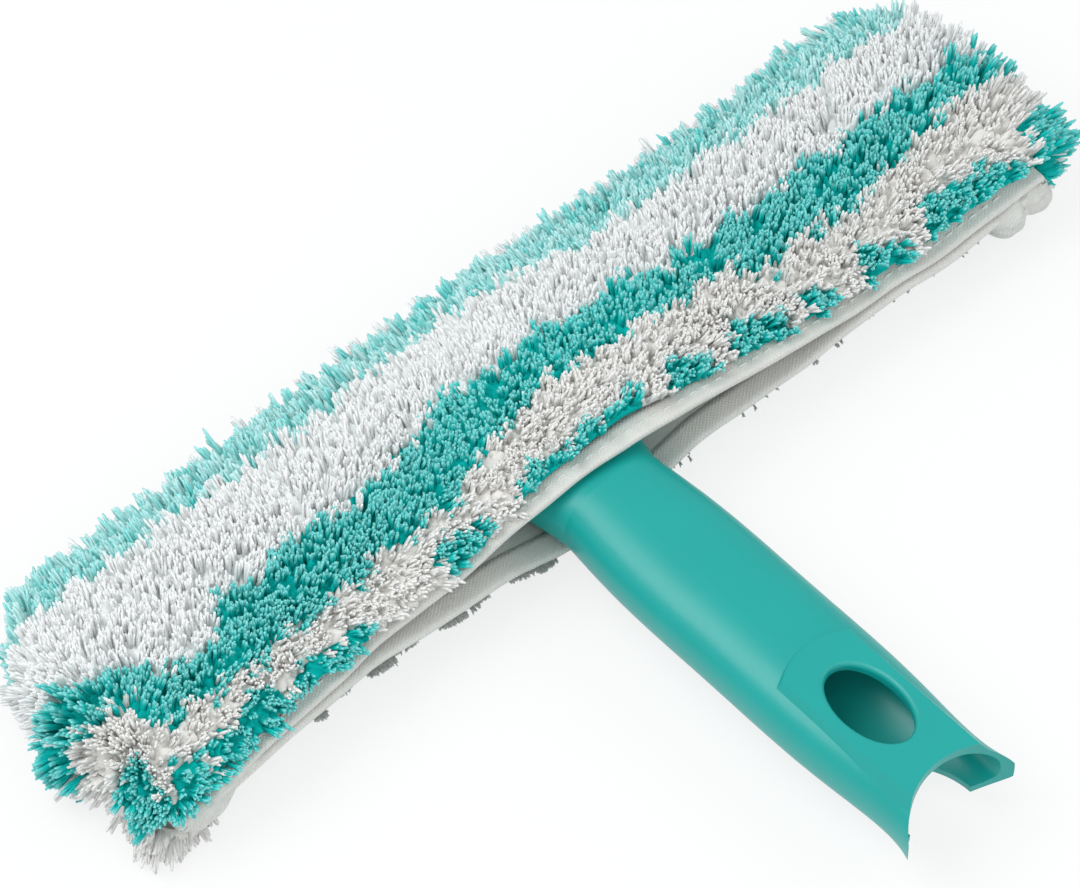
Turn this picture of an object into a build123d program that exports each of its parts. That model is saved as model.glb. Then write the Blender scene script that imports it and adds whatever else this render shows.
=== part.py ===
from build123d import *
import os
from math import cos, pi, radians, sin, sqrt, tan

# A T-shaped window scrubber: a hollow moulded handle clamped to a flat crossbar,
# and a striped pile cover that is drawn over the crossbar from the side away from the handle.
# Frame: X runs along the crossbar, the handle leaves towards -Y and Z is up.
# The origin lies on the surface that the cover rests on, under the middle of the crossbar.

# Height of the crossbar's middle plane above the surface that the cover rests on
mid_height = 21.0
# One overrun serves every cut that has to pass a face
overrun = 3.0
right_angle = 90

# Crossbar, cut from flat aluminium stock, with holes that let the water through
bar_length = 296.0
bar_depth = 38.0
bar_thickness = 3.0
bar_corner_radius = 6.0
drain_hole_radius = 5.0
drain_hole_pitch = 24.0
drain_holes_each_side = 4
first_drain_hole = 46.0

# End caps pushed on the crossbar
cap_wall = 0.8
cap_end_wall = 2.5
cap_grip_length = 20.0

# Handle head over the crossbar and the clamp plate under it
head_width = 48.0
head_reach_over_bar = 26.0
head_plate_thickness = 6.0
clamp_plate_thickness = 4.0
head_corner_radius = 3.0
bar_edge_clearance = 0.3
clamp_plate_clearance = 0.3

# Screws that draw the clamp plate up to the head
screw_radius = 1.75
screw_hole_clearance = 0.25
screw_pilot_clearance = 0.05
screw_head_radius = 3.5
screw_head_height = 2.2
screw_head_clearance = 0.3
screw_tip_clearance = 0.4
screw_bite = 4.5
screw_spacing_along_bar = 32.0
screw_spacing_across_bar = 13.0
drive_recess_radius = 1.2
drive_recess_depth = 1.4

# Handle outline, as distances from the crossbar's middle line
grip_start = 50.0
grip_full = 86.0
grip_end = 185.2
grip_start_width = 34.4
grip_width = 39.4
grip_height = 24.0
grip_wall = 2.5
head_fullness = 4.0
grip_fullness = 2.5
oval_steps = 32
# How far along the widening, and along the straight grip after it, the shaping sections stand
widening_shares = (1 / 3, 2 / 3, 1)
straight_shares = (1 / 8, 1 / 2, 1)

# Pole socket: a wide channel from the open end, then a round bore
channel_depth = 61.0
bore_radius = 9.0
bore_length = 60.0

# Open end: a round saddle cut and a long slot in the lower wall, measured in from the end
saddle_radius = 24.0
saddle_depth = 9.9
slot_half_width = 11.2
slot_reach = 20.0
slot_setback = 6.2

# Catch hole in the upper wall, with its rounded lip and its flat pad, measured in from the end
catch_setback = 35.2
catch_half_width = 8.8
catch_half_length = 14.5
catch_lip_radius = 1.4
pad_proud = 0.15
pad_half_width = 12.4
pad_reach = 59.7
pad_nose_drop = 6.5
pad_root_depth = 7.0
pad_slope_degrees = 30.0

# Cover pocket, with the slack that lets the cover sit off centre
pocket_gap = 7.0
pocket_end_clearance = 0.5
pocket_far_clearance = 1.2
cover_slack = 14.0
pocket_corner_radius = 6.5
cloth_thickness = 1.5
hem_distance = 50.0

# Arches over and under the handle, where the cover's mouth stands open
upper_arch_half_span = 75.0
lower_arch_half_span = 45.0
arch_mouth_rise = 9.6
arch_head_rise = 6.2
arch_sink = 0.5
arch_steps = 10

# Hem tapes folded round the cloth's edge, and their stitches
tape_thickness = 0.5
tape_width = 5.0
stitch_length = 3.0
stitch_pitch = 4.6
stitch_width = 0.8
stitch_height = 0.3
stitch_inset = 3.8
stitch_end_margin = 10.0

# Hook and loop closure inside the hems, left and right of the handle
closure_thickness = 0.9
closure_width = 12.0
closure_length = 60.0
closure_end_margin = 12.0
closure_inset = 6.0

# Folded cloth that closes the two ends of the mouth
tuck_length = 7.0
tuck_depth = 15.0
tuck_height = 12.0
tuck_radius = 3.2
tuck_overhang = 1.0

# Pile
pile_length = 12.5
pile_crown_height = 42.0
pile_crown_distance = 8.0
pile_near_rise = 8.0
pile_flattening = 8.0
pile_plan_radius = 22.0
pile_end_radius = 17.0
pile_end_margin = 0.6
pile_arch_cover = 7.0

# Widths of the coloured pile stripes from the hem to the far side, above and below alike
near_teal_stripe = 3.5
near_white_stripe = 16.0
main_teal_stripe = 15.0
main_white_stripe = 18.5
# The last two boundaries lean to the far side as the pile does, in degrees from upright
far_boundary_lean = 30.0
fold_boundary_lean = 70.0
# Where the last boundary leaves the pocket, measured back from the pocket's far end
fold_root_inset = 4.0

# Derived places
bar_top = mid_height + bar_thickness / 2
bar_bottom = mid_height - bar_thickness / 2
clamp_bottom = bar_bottom - clamp_plate_thickness
half_bar_length = bar_length / 2
half_bar_depth = bar_depth / 2
capped_half_length = half_bar_length + cap_end_wall
cap_thickness = bar_thickness + 2 * cap_wall
head_far = head_reach_over_bar - half_bar_depth
grip_half_height = grip_height / 2
grip_crown = mid_height + grip_half_height
channel_end = grip_end - channel_depth
catch_distance = grip_end - catch_setback
pocket_half_gap = pocket_gap / 2
pocket_left = -capped_half_length - pocket_end_clearance
pocket_right = capped_half_length + pocket_end_clearance + cover_slack
pocket_far = half_bar_depth + pocket_far_clearance
cover_middle = (pocket_left + pocket_right) / 2
pile_left = pocket_left - cloth_thickness - pile_length
pile_right = pocket_right + cloth_thickness + pile_length
pile_far = pocket_far + cloth_thickness + pile_length
pile_near = tape_width - hem_distance
mouth_cut = -hem_distance - overrun


def front_plane(y, z=mid_height):
    """A plane across the handle, with its local axes along X and Z."""
    return Plane(origin=(0, y, z), x_dir=(1, 0, 0), z_dir=(0, -1, 0))


def side_plane(x):
    """A plane across the crossbar, with its local axes along Y and Z."""
    return Plane(origin=(x, 0, mid_height), x_dir=(0, 1, 0), z_dir=(1, 0, 0))


def block(x_low, x_high, y_low, y_high, z_low, z_high):
    """A box between two corners."""
    box = Box(x_high - x_low, y_high - y_low, z_high - z_low)
    middle = ((x_low + x_high) / 2, (y_low + y_high) / 2, (z_low + z_high) / 2)
    return Pos(*middle) * box


def upright_cylinder(x, y, z_low, z_high, radius):
    return Pos(x, y, (z_low + z_high) / 2) * Cylinder(radius, z_high - z_low)


def signed_power(value, power):
    """A power that keeps the sign, with the rounding error near zero taken off."""
    if abs(value) < 1 / oval_steps ** 4:
        return 0
    return abs(value) ** power * (1 if value >= 0 else -1)


def oval_face(y, half_width, half_height, fullness, z=mid_height):
    """A rounded section across the handle. Fullness 2 is an ellipse and more is boxier."""
    points = []
    for step in range(oval_steps):
        turn = 2 * pi * step / oval_steps
        across = half_width * signed_power(sin(turn), 2 / fullness)
        up = -half_height * signed_power(cos(turn), 2 / fullness)
        points.append((across, up))
    return front_plane(y, z) * make_face(Spline(*points, periodic=True))


def screw_places():
    """The screws stand in a rectangle round the middle of the head."""
    middle = (head_far - half_bar_depth) / 2
    half_along = screw_spacing_along_bar / 2
    half_across = screw_spacing_across_bar / 2
    return [(i * half_along, middle + j * half_across) for i in (-1, 1) for j in (-1, 1)]


def make_crossbar_blank():
    """The crossbar before it is drilled."""
    outline = RectangleRounded(bar_length, bar_depth, bar_corner_radius)
    return Pos(0, 0, bar_bottom) * extrude(outline, bar_thickness)


def make_crossbar():
    low = bar_bottom - overrun
    high = bar_top + overrun
    holes = []
    for side in (-1, 1):
        for step in range(drain_holes_each_side):
            x = side * (first_drain_hole + step * drain_hole_pitch)
            holes.append(upright_cylinder(x, 0, low, high, drain_hole_radius))
    for x, y in screw_places():
        holes.append(upright_cylinder(x, y, low, high, screw_radius + screw_hole_clearance))
    return make_crossbar_blank() - holes


def make_end_cap(side):
    """A moulded cap that is pushed over one end of the crossbar."""
    grip_from = half_bar_length - cap_grip_length
    cap_length = capped_half_length - grip_from
    outline = RectangleRounded(cap_length, bar_depth, bar_corner_radius)
    middle_x = side * (grip_from + cap_length / 2)
    cap = Pos(middle_x, 0, mid_height - cap_thickness / 2) * extrude(outline, cap_thickness)
    return cap - make_crossbar_blank()


def make_clamp_plate():
    near = clamp_plate_clearance - half_bar_depth
    outline = RectangleRounded(head_width, head_far - near, head_corner_radius)
    plate = Pos(0, (near + head_far) / 2, clamp_bottom) * extrude(outline, clamp_plate_thickness)
    hole_radius = screw_radius + screw_hole_clearance
    sink_radius = screw_head_radius + screw_head_clearance
    low = clamp_bottom - overrun
    for x, y in screw_places():
        plate -= upright_cylinder(x, y, low, bar_bottom + overrun, hole_radius)
        plate -= upright_cylinder(x, y, low, clamp_bottom + screw_head_height, sink_radius)
    return plate


def make_screws():
    screws = []
    for x, y in screw_places():
        head = upright_cylinder(x, y, clamp_bottom, clamp_bottom + screw_head_height, screw_head_radius)
        shank = upright_cylinder(x, y, clamp_bottom, bar_top + screw_bite, screw_radius)
        recess_top = clamp_bottom + drive_recess_depth
        recess = upright_cylinder(x, y, clamp_bottom - overrun, recess_top, drive_recess_radius)
        screws.append(head + shank - recess)
    return Compound(screws)


def make_pad():
    """The flat pad round the catch hole, with sloping sides and a round nose."""
    spread = pad_root_depth * tan(radians(pad_slope_degrees))
    half = pad_half_width + spread
    nose = spread + pad_reach - grip_end
    shoulder = nose - pad_nose_drop
    end = -grip_end - overrun
    sides = Polyline((-half, shoulder), (-half, end), (half, end), (half, shoulder))
    tip = ThreePointArc((half, shoulder), (0, nose), (-half, shoulder))
    root = grip_crown + pad_proud - pad_root_depth
    return extrude(Pos(0, 0, root) * make_face(sides + tip), pad_root_depth, taper=pad_slope_degrees)


def make_handle():
    """One hollow moulding: head, neck, grip, catch hole and open end."""
    half_width = grip_width / 2
    head_half = (head_plate_thickness + bar_thickness + clamp_plate_thickness) / 2
    neck_face = half_bar_depth + bar_edge_clearance
    grip_face = oval_face(-grip_start, grip_start_width / 2, grip_half_height, grip_fullness)
    head_face = oval_face(-neck_face, head_width / 2, head_half, head_fullness, clamp_bottom + head_half)
    neck = loft([head_face, grip_face])
    sections = [grip_face]
    for share in widening_shares:
        y = -grip_start - share * (grip_full - grip_start)
        widening = (grip_width - grip_start_width) / 2 * sin(share * pi / 2)
        sections.append(oval_face(y, grip_start_width / 2 + widening, grip_half_height, grip_fullness))
    for share in straight_shares:
        y = -grip_full - share * (grip_end - grip_full)
        sections.append(oval_face(y, half_width, grip_half_height, grip_fullness))
    grip = loft(sections)
    head_length = head_reach_over_bar + bar_edge_clearance + overrun
    head_outline = RectangleRounded(head_width, head_length, head_corner_radius)
    head = Pos(0, head_far - head_length / 2, bar_top) * extrude(head_outline, head_plate_thickness)
    handle = neck + grip + head + make_pad()
    handle -= block(-grip_width, grip_width, -grip_end - 2 * overrun, -grip_end, 0, grip_crown + overrun)

    inner_width = half_width - grip_wall
    inner_height = grip_half_height - grip_wall
    channel = oval_face(-grip_end - overrun, inner_width, inner_height, grip_fullness)
    handle -= extrude(channel, -channel_depth - overrun)
    bore_mouth = front_plane(-channel_end - overrun) * Circle(bore_radius)
    handle -= extrude(bore_mouth, -bore_length - overrun)

    saddle_y = saddle_depth - grip_end - saddle_radius
    handle -= upright_cylinder(0, saddle_y, 0, grip_crown + overrun, saddle_radius)
    slot = Ellipse(slot_half_width, slot_reach)
    handle -= Pos(0, slot_setback - grip_end, 0) * extrude(slot, mid_height)

    for x, y in screw_places():
        pilot_radius = screw_radius + screw_pilot_clearance
        pilot_top = bar_top + screw_bite + screw_tip_clearance
        handle -= upright_cylinder(x, y, bar_top - overrun, pilot_top, pilot_radius)

    catch = Ellipse(catch_half_width, catch_half_length)
    handle -= Pos(0, -catch_distance, mid_height) * extrude(catch, grip_half_height + overrun)
    lip_middle = (0, -catch_distance, grip_crown + pad_proud)
    lip = handle.edges().sort_by_distance(lip_middle)[0]
    return fillet(lip, catch_lip_radius)


def arch_curve(half_span, rise, spread):
    """Points of a smooth bump from left to right, as heights above the middle plane."""
    foot = pocket_half_gap - arch_sink + spread
    points = []
    for step in range(arch_steps + 1):
        share = 2 * step / arch_steps - 1
        lift = (rise + arch_sink) * cos(share * pi / 2) ** 2
        points.append((share * half_span, foot + lift))
    return points


def arch_profile(y, rise, spread):
    """A lens across the mouth, where the cover is lifted over and under the handle's head."""
    top = arch_curve(upper_arch_half_span, rise, spread)
    bottom = [(x, -z) for x, z in reversed(arch_curve(lower_arch_half_span, rise, spread))]
    outline = [Spline(*top), Line(top[-1], bottom[0]), Spline(*bottom), Line(bottom[-1], top[0])]
    return front_plane(y) * make_face(outline)


def make_arch(spread):
    return loft([
        arch_profile(mouth_cut, arch_mouth_rise, spread),
        arch_profile(head_far, arch_head_rise, spread),
        arch_profile(pocket_far - pocket_half_gap, arch_sink, spread),
    ], ruled=True)


def make_pocket(spread):
    """The space inside the cover, or its outside once grown by spread."""
    half = pocket_half_gap + spread
    round_middle = pocket_far - pocket_half_gap
    left = pocket_left - spread
    right = pocket_right + spread
    flat = Polyline((round_middle, half), (mouth_cut, half), (mouth_cut, -half), (round_middle, -half))
    fold = ThreePointArc((round_middle, -half), (round_middle + half, 0), (round_middle, half))
    body = extrude(side_plane(left) * make_face(flat + fold), right - left)
    corner = pocket_corner_radius + spread
    plan_near = mouth_cut - 2 * corner
    plan_far = pocket_far + spread
    prism_height = 2 * half + overrun
    prism = extrude(RectangleRounded(right - left, plan_far - plan_near, corner), prism_height)
    body &= Pos((left + right) / 2, (plan_near + plan_far) / 2, mid_height - prism_height / 2) * prism
    return body + make_arch(spread)


def side_slab(y_low, y_high, side):
    """All of the cover between two distances that lies above (1) or below (-1) the middle plane."""
    z_low = mid_height if side > 0 else -overrun
    z_high = pile_crown_height + overrun if side > 0 else mid_height
    return block(pile_left - overrun, pile_right + overrun, y_low, y_high, z_low, z_high)


def middle_layer():
    """All of the space between the inner faces of the cover's two sides."""
    high = mid_height + pocket_half_gap
    low = mid_height - pocket_half_gap
    return block(pile_left, pile_right, mouth_cut - overrun, pile_far + overrun, low, high)


def make_whole_cloth():
    """The cloth pocket in one, folded on its far side and open towards the handle."""
    cloth = make_pocket(cloth_thickness) - make_pocket(0)
    edge = tape_thickness - hem_distance
    front = block(pile_left, pile_right, mouth_cut - overrun, edge, -overrun, pile_crown_height + overrun)
    return cloth - front


def make_base_cloths(cloth):
    """The pocket as its two flat sides, its fold and its two ends."""
    fold_start = pocket_far - pocket_corner_radius
    rim = cloth & middle_layer()
    low = mid_height - pocket_gap
    high = mid_height + pocket_gap
    pieces = {
        "upper_base_cloth": (cloth - middle_layer()) & side_slab(mouth_cut, pile_far, 1),
        "lower_base_cloth": (cloth - middle_layer()) & side_slab(mouth_cut, pile_far, -1),
        "fold_base_cloth": rim & block(pile_left, pile_right, fold_start, pile_far, low, high),
    }
    for word, x_low, x_high in (("left", pile_left, cover_middle), ("right", cover_middle, pile_right)):
        pieces[word + "_end_cloth"] = rim & block(x_low, x_high, mouth_cut, fold_start, low, high)
    return pieces


def make_hem_tape(side, cloth):
    """A woven tape folded round the edge of one side of the cloth."""
    sleeve = make_pocket(cloth_thickness + tape_thickness) - make_pocket(-tape_thickness)
    mouth_height = pocket_gap - 2 * tape_thickness
    mouth_low = mid_height - mouth_height / 2
    mouth = block(pile_left, pile_right, mouth_cut, pile_near + overrun, mouth_low, mouth_low + mouth_height)
    return (sleeve & side_slab(-hem_distance, pile_near, side)) - cloth - mouth


def make_stitching(side):
    """A row of stitches that stands on the outside of one hem tape."""
    tape_outside = cloth_thickness + tape_thickness
    near = stitch_inset - hem_distance
    strip = make_pocket(tape_outside + stitch_height) - make_pocket(tape_outside)
    strip &= side_slab(near - stitch_width, near, side)
    first = pocket_left + stitch_end_margin
    last = pocket_right - stitch_end_margin
    count = int((last - first) / stitch_pitch)
    z_low = -overrun
    z_high = pile_crown_height + overrun
    y_low = near - stitch_width - overrun
    y_high = near + overrun
    gaps = [
        block(pile_left, first, y_low, y_high, z_low, z_high),
        block(first + (count - 1) * stitch_pitch + stitch_length, pile_right, y_low, y_high, z_low, z_high),
    ]
    for step in range(count - 1):
        x = first + step * stitch_pitch
        gaps.append(block(x + stitch_length, x + stitch_pitch, y_low, y_high, z_low, z_high))
    return strip - gaps


def make_closure(side, above):
    """A strip of hook or loop tape inside a hem, left (-1) or right (1) of the handle."""
    outer = pocket_right - closure_end_margin if side > 0 else pocket_left + closure_end_margin
    inner = outer - side * closure_length
    y_low = closure_inset - hem_distance
    z_outer = above * pocket_half_gap
    z_inner = above * (pocket_half_gap - closure_thickness)
    z_low = mid_height + min(z_outer, z_inner)
    z_high = mid_height + max(z_outer, z_inner)
    return block(min(inner, outer), max(inner, outer), y_low, y_low + closure_width, z_low, z_high)


def make_tuck(side):
    """The folded end of the cloth that closes the mouth beside the pocket."""
    sleeve = cloth_thickness + tape_thickness
    inner = pocket_right + sleeve if side > 0 else pocket_left - sleeve
    outer = inner + side * tuck_length
    y_low = -hem_distance - tuck_overhang
    z_low = mid_height - tuck_height / 2
    tuck = block(min(inner, outer), max(inner, outer), y_low, y_low + tuck_depth, z_low, z_low + tuck_height)
    seam = tuck.faces().sort_by_distance((inner, y_low + tuck_depth / 2, mid_height))[0]
    free_edges = tuck.edges() - seam.edges()
    return fillet(free_edges, tuck_radius)


def make_pile_outside():
    """The rounded outer form of the whole pile, cut flat where it rests."""
    middle = (-pile_crown_distance, 0)
    far_reach = pile_far + pile_crown_distance
    rise = pile_crown_height - mid_height
    fall = mid_height + pile_flattening
    near_reach = (-pile_near - pile_crown_distance) / sqrt(1 - (pile_near_rise / rise) ** 2)
    quarters = []
    for index, (reach, height) in enumerate(
            ((far_reach, rise), (near_reach, rise), (near_reach, fall), (far_reach, fall))):
        quarters.append(EllipticalCenterArc(middle, reach, height, index * right_angle, arc_size=right_angle))
    section = make_face(quarters)
    length = pile_right - pile_left
    body = extrude(side_plane(pile_left) * section, length)
    middle_x = (pile_left + pile_right) / 2

    plan_near = pile_near - 2 * pile_plan_radius
    plan = RectangleRounded(length, pile_far - plan_near + pile_end_margin, pile_plan_radius)
    plan_y = (pile_far + pile_end_margin + plan_near) / 2
    plan_height = rise + fall + 2 * overrun
    body &= Pos(middle_x, plan_y, -pile_flattening - overrun) * extrude(plan, plan_height)

    front_height = rise + fall + 2 * pile_end_margin
    front_z = mid_height + (rise - fall) / 2
    front = front_plane(pile_far + overrun, front_z) * RectangleRounded(length, front_height, pile_end_radius)
    body &= Pos(middle_x, 0, 0) * extrude(front, pile_far + near_reach + 2 * overrun + pile_crown_distance)

    body += make_arch(cloth_thickness + pile_arch_cover)
    body -= block(pile_left - overrun, pile_right + overrun, mouth_cut - near_reach, pile_near,
                  -far_reach, 2 * far_reach)
    body -= block(pile_left - overrun, pile_right + overrun, mouth_cut, pile_far + overrun,
                  -far_reach, 0)
    return body


def boundary(y, lean=0):
    """A stripe boundary in the cover's section, from the middle plane out past the crown."""
    return (y, 0), (y + pile_crown_height * tan(radians(lean)), pile_crown_height)


def stripe_slab(roots, tips):
    """The wedge of space between two stripe boundaries, right along the cover."""
    outline = Polyline(roots[0], tips[0], tips[1], roots[1], close=True)
    left = pile_left - overrun
    return extrude(side_plane(left) * make_face(outline), pile_right + overrun - left)


def make_pile_stripes():
    """Each coloured stripe of pile as its own solid, named from the hem to the far side."""
    names = ["near_teal", "near_white", "main_teal", "main_white", "far_teal"]
    boundaries = [boundary(pile_near)]
    place = pile_near
    for width in (near_teal_stripe, near_white_stripe, main_teal_stripe):
        place += width
        boundaries.append(boundary(place))
    boundaries.append(boundary(place + main_white_stripe, far_boundary_lean))
    boundaries.append(boundary(pocket_far - fold_root_inset, fold_boundary_lean))
    pile = make_pile_outside() - make_pocket(cloth_thickness) - make_tuck(-1) - make_tuck(1)
    stripes = {}
    for side, word in ((1, "upper"), (-1, "lower")):
        for index, name in enumerate(names):
            pair = boundaries[index:index + 2]
            roots = [(root[0], 0) for root, tip in pair]
            tips = [(tip[0], side * tip[1]) for root, tip in pair]
            stripes[word + "_" + name + "_pile"] = pile & stripe_slab(roots, tips)
    root, tip = boundaries[-1]
    fold = Polyline(root, tip, (tip[0], -tip[1]), close=True)
    left = pile_left - overrun
    slab = extrude(side_plane(left) * make_face(fold), pile_right + overrun - left)
    stripes["fold_white_pile"] = pile & slab
    return stripes


def write(name, shape):
    export_step(shape, "parts/" + name + ".step")


def main():
    os.makedirs("parts", exist_ok=True)
    write("handle_grip", make_handle())
    write("crossbar", make_crossbar())
    write("left_end_cap", make_end_cap(-1))
    write("right_end_cap", make_end_cap(1))
    write("clamp_plate", make_clamp_plate())
    write("clamp_screws", make_screws())
    cloth = make_whole_cloth()
    for name, piece in make_base_cloths(cloth).items():
        write(name, piece)
    for side, word in ((1, "upper"), (-1, "lower")):
        write(word + "_hem_tape", make_hem_tape(side, cloth))
        write(word + "_hem_stitching", make_stitching(side))
    for side, word in ((-1, "left"), (1, "right")):
        write(word + "_hook_tape", make_closure(side, 1))
        write(word + "_loop_tape", make_closure(side, -1))
        write(word + "_end_tuck", make_tuck(side))
    for name, stripe in make_pile_stripes().items():
        write(name, stripe)


main()
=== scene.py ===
import math

import bpy
import numpy as np
from bpy.props import FloatProperty, FloatVectorProperty, IntProperty, PointerProperty
from mathutils import Matrix, Vector, noise
from mathutils.kdtree import KDTree


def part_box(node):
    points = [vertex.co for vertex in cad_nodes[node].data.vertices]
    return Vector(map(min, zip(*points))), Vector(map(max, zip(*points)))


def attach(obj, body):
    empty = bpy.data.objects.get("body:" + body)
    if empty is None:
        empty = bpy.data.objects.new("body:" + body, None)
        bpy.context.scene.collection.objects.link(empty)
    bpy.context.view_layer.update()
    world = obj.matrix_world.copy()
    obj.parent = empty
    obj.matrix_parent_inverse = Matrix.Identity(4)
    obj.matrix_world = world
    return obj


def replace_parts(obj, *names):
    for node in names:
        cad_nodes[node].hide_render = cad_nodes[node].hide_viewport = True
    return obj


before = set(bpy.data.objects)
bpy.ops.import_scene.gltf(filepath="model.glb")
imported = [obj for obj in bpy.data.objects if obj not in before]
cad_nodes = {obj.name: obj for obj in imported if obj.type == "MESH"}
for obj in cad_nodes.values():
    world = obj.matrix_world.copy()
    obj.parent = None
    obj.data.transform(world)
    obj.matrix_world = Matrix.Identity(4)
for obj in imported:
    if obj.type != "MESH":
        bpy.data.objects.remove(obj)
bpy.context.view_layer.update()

bl_info = {
    "name": "Window scrubber dressing",
    "version": (1, 0, 0),
    "blender": (4, 5, 0),
    "location": "3D View > Sidebar > Scrubber",
    "description": "Dresses the window scrubber's solids with yarn pile, cloth, tapes and moulded plastic",
    "category": "Object",
}

MM = 0.001
YARN_MAP = "OFBake"

# The cover in millimetres, in the frame of the solids.
# The cloth pocket is flat, lies round the crossbar and is folded on its far side. What fades along or across
# the cover has a start and a length, which is negative where it grows towards smaller places.
MID_Z = 21.0
CLOTH_LEFT, CLOTH_RIGHT = -152.5, 166.5
CLOTH_OUTER, CLOTH_INNER = 5.0, 3.6
MID_X = (CLOTH_LEFT + CLOTH_RIGHT) / 2
FOLD_CENTRE = 16.7
MOUTH = -50.0
# Away from the handle the mouth's lips have sunk together
LIP_SINK, SINK_ALONG, SINK_ACROSS = 2.7, (56, 45), (-38, -10)
# The cloth is lifted over the handle's head, most at the mouth, and lowered under it
LIFT_APEX, LIFT_LEFT, LIFT_RIGHT, LIFT_LOW = 5.0, 76.0, 92.0, 45.0
LIFT_PLACES, LIFT_HEIGHTS = (-54.0, 7.0, 16.5), (9.9, 6.4, 0.0)
# How far the mouth's two lips are drawn back, along the crossbar
HEM_PLACES = (-153, -130, -95, -76, -31, 10, 29, 60, 80, 120, 166)
UPPER_BACK = (0, 0.8, 3.8, 5.6, 5.0, 3.0, 1.4, 1.0, 0.6, -0.4, -0.8)
LOWER_BACK = (0, 0.4, 2.4, 3.0, 2.2, 2.6, 1.0, 0.2, -0.8, -1.8, -1.6)
BACK_ACROSS = (-16, -26)
# The left end of the mouth droops
DROOP, DROOP_ALONG, DROOP_ACROSS = 6.0, (-122, -28), (-24, -18)
# Slow waves of the hem as height, length and phase. They reach this far back from the mouth.
HEM_WAVES, WAVE_REACH = ((0.45, 13.0, 0.7), (0.3, 5.9, 2.1), (0.25, 31.0, 0.0)), 14.0
# A hem tape's edge, the middle of its turn, its thickness, and how far its sides are off the cloth's
TAPE_EDGE, TAPE_TURN, TAPE_THICK, TAPE_PROUD, TAPE_SUNK = -42.4, -48.9, 0.5, 0.62, 0.55
# The stitches' margin at the ends, their inset from the mouth and how deep they dip
STITCH_MARGIN, STITCH_INSET, STITCH_DIP = 11.0, 3.4, 0.34
# The folded ends of the mouth: middle, half length, depth, height and drop
LEFT_FOLD = (CLOTH_LEFT + 14.5, 14.0, 4.6, 5.6, 0.8)
RIGHT_FOLD = (CLOTH_RIGHT - 9.5, 12.0, 5.6, 6.0, 5.0)
# A closure tape's base, and the height and pitches of its hooks
CLOSURE_BASE, HOOK_HEIGHT, HOOK_PITCHES = 0.45, 0.42, (1.7, 1.5)

# How much further the pile's near edge is drawn back. A negative one hangs over the tape.
PILE_BACK = (
    (-166, -124, -104, -78, -40, -14, 16, 50, 76, 100, 179),
    (-4.0, -4.6, -4.0, -6.4, -5.0, 0.4, 1.8, 0.6, -1.0, -2.6, -4.0),
)
# The lower pile's near edge stays behind its lip, but for the two ends
LOWER_PILE_BACK = (-146, -134, 160, 172), (-4.5, 4.8, 4.8, -2.5)
PILE_BACK_ACROSS = (-20, -22)
# The pile's section: the crown's place and heights, and its reach to the mouth and to the far side
CROWN_Y, CROWN_RISE, CROWN_FALL = -8.0, 21.0, 29.0
NEAR_REACH, FAR_REACH = 40.0, 41.2
# Its near edge, the inset of the first roots, and how full the far side's curve is
PILE_NEAR, ROOT_INSET, FAR_FULLNESS = -45.0, 0.6, 2.25
PILE_LEFT, PILE_RIGHT = -165.0, 179.0
# At an end the section turns round this core, and its tips and roots reach out this far
CORE, END_REACH, ROOT_REACH, END_FULLNESS = (-38.0, 14.0), 20.0, 7.0, 0.8
PILE_ENDS = PILE_LEFT + END_REACH, PILE_RIGHT - END_REACH
# There the tufts stand at these turns, and thin out towards the last
END_TURNS, END_THINNING, END_LEAST = (0.06, math.pi / 2 - 0.04, 17), 0.7, 0.25
# Tufts stand off their places by up to this share of the pitch, and at an end by this angle
OFF_PLACE, OFF_TURN = 0.42, 0.05
# Tips at these distances across the cover have their roots at these lengths along the cloth
TIP_PLACES, ROOT_LENGTHS = (CROWN_Y, 20.0, 28.0), (32.0, 54.0, 59.0)
# Over the handle this length of pile stays on the lifted cloth, by this share and up to this distance across
LIFTED_PILE, LIFTED_SHARE, LIFTED_TO = 8.0, 0.9, 10
# The lowest heights of the tips' curve, the undercoat and the strands
TIP_FLOOR, COAT_FLOOR, STRAND_FLOOR = 0.5, 0.4, 0.15
# The far side has sagged towards the right
SAG_PLACES, SAG, SAG_ACROSS = (20, 62, 105, 150, 179), (0, 3.6, 5.6, 5.0, 3.0), (4, 22)
# How much the two ends are rounded off, by the distance across the cover. A negative one stands out, as the
# end of the main teal stripe does on the left.
ROUND_PLACES = (-45, -20, -10, -1, 14, 34)
LEFT_ROUND, LEFT_ALONG = (2, 1.5, -6, 1.5, 6, 15), (PILE_LEFT + 40, -40)
RIGHT_ROUND, RIGHT_ALONG = (-4.5, -3.2, -2.5, -1.0, 2.0, 9), (PILE_RIGHT - 58, 58)
# The tips' mean surface lies this far under the longest tufts, in hills of this pitch and seed
SURFACE_DROP, HILLS, HILL_HEIGHT, TUFT_UNEVEN = 1.2, (6.0, 3.0), 0.9, 0.5
# The dense undercoat fills these shares of the pile. Hills, lumps and chance roughen its top.
COAT_BASE, COAT_SHARE, FAR_FULLER, FAR_FROM = 0.3, 0.66, 0.06, (-6, 16)
HILL_SHARE, LUMP_SHARE, LUMPS, COAT_ROUGH = 0.05, 0.10, (2.6, 9.0), 0.085
# Its points round the section, along the cover and round each end
COAT_ROWS, COAT_COLUMNS, COAT_TURNS = 165, 270, 22
# Its place in the yarn's tones, close to the roots' painted shade, and how mottled they are
COAT_TONE, COAT_MOTTLE = 0.40, 0.17
# Differences of shade in the yarn map, and the most that it reaches
TUFT_SHADE, CLUMP_SHADE, STRAND_SHADE, SIDE_SHADE, MOST_SHADE = 0.28, 0.14, 0.05, 0.012, 0.95
# Painted backlight adds this to the shade, and the far teal rows get it by this factor, which paints them
# paler
PAINTED_BACKLIGHT_SHADE, FAR_PAINTED_BACKLIGHT = 0.45, 1.12
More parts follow.
